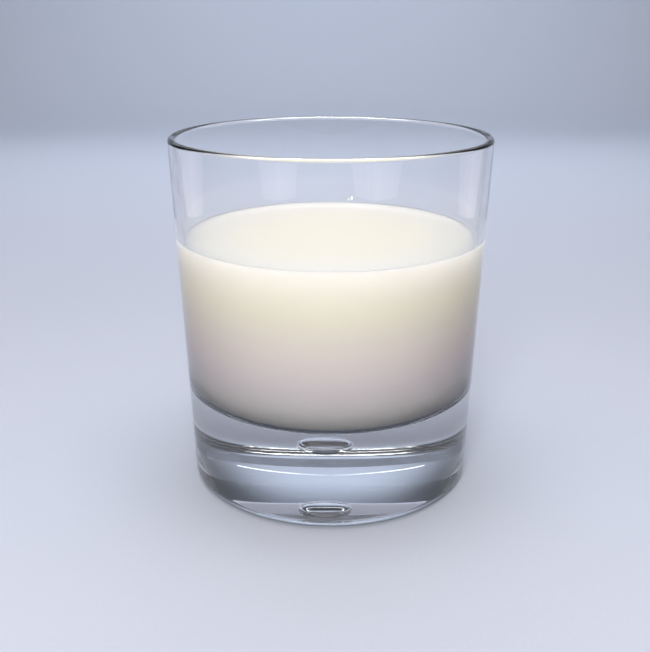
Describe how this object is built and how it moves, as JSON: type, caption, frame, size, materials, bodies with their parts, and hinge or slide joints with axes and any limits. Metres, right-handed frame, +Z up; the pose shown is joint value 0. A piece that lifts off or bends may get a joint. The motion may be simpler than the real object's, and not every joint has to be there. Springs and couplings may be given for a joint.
{
  "type": "glass of milk",
  "caption": "Heavy-based clear drinking glass with a slight flare, filled about two thirds full with white milk.",
  "frame": {"origin": "centre of the ring that the glass stands on, at table height", "axes": "+Z up along the axis of the glass; the glass is round, so X and Y are free"},
  "size_m": [0.085, 0.085, 0.0953],
  "materials": {
    "clear_glass": "clear, smooth pressed glass with a thick base",
    "milk": "opaque creamy white liquid with a smooth, slightly glossy surface"
  },
  "bodies": {
    "root": {"glass": "clear_glass", "milk": "milk"}
  },
  "joints": []
}
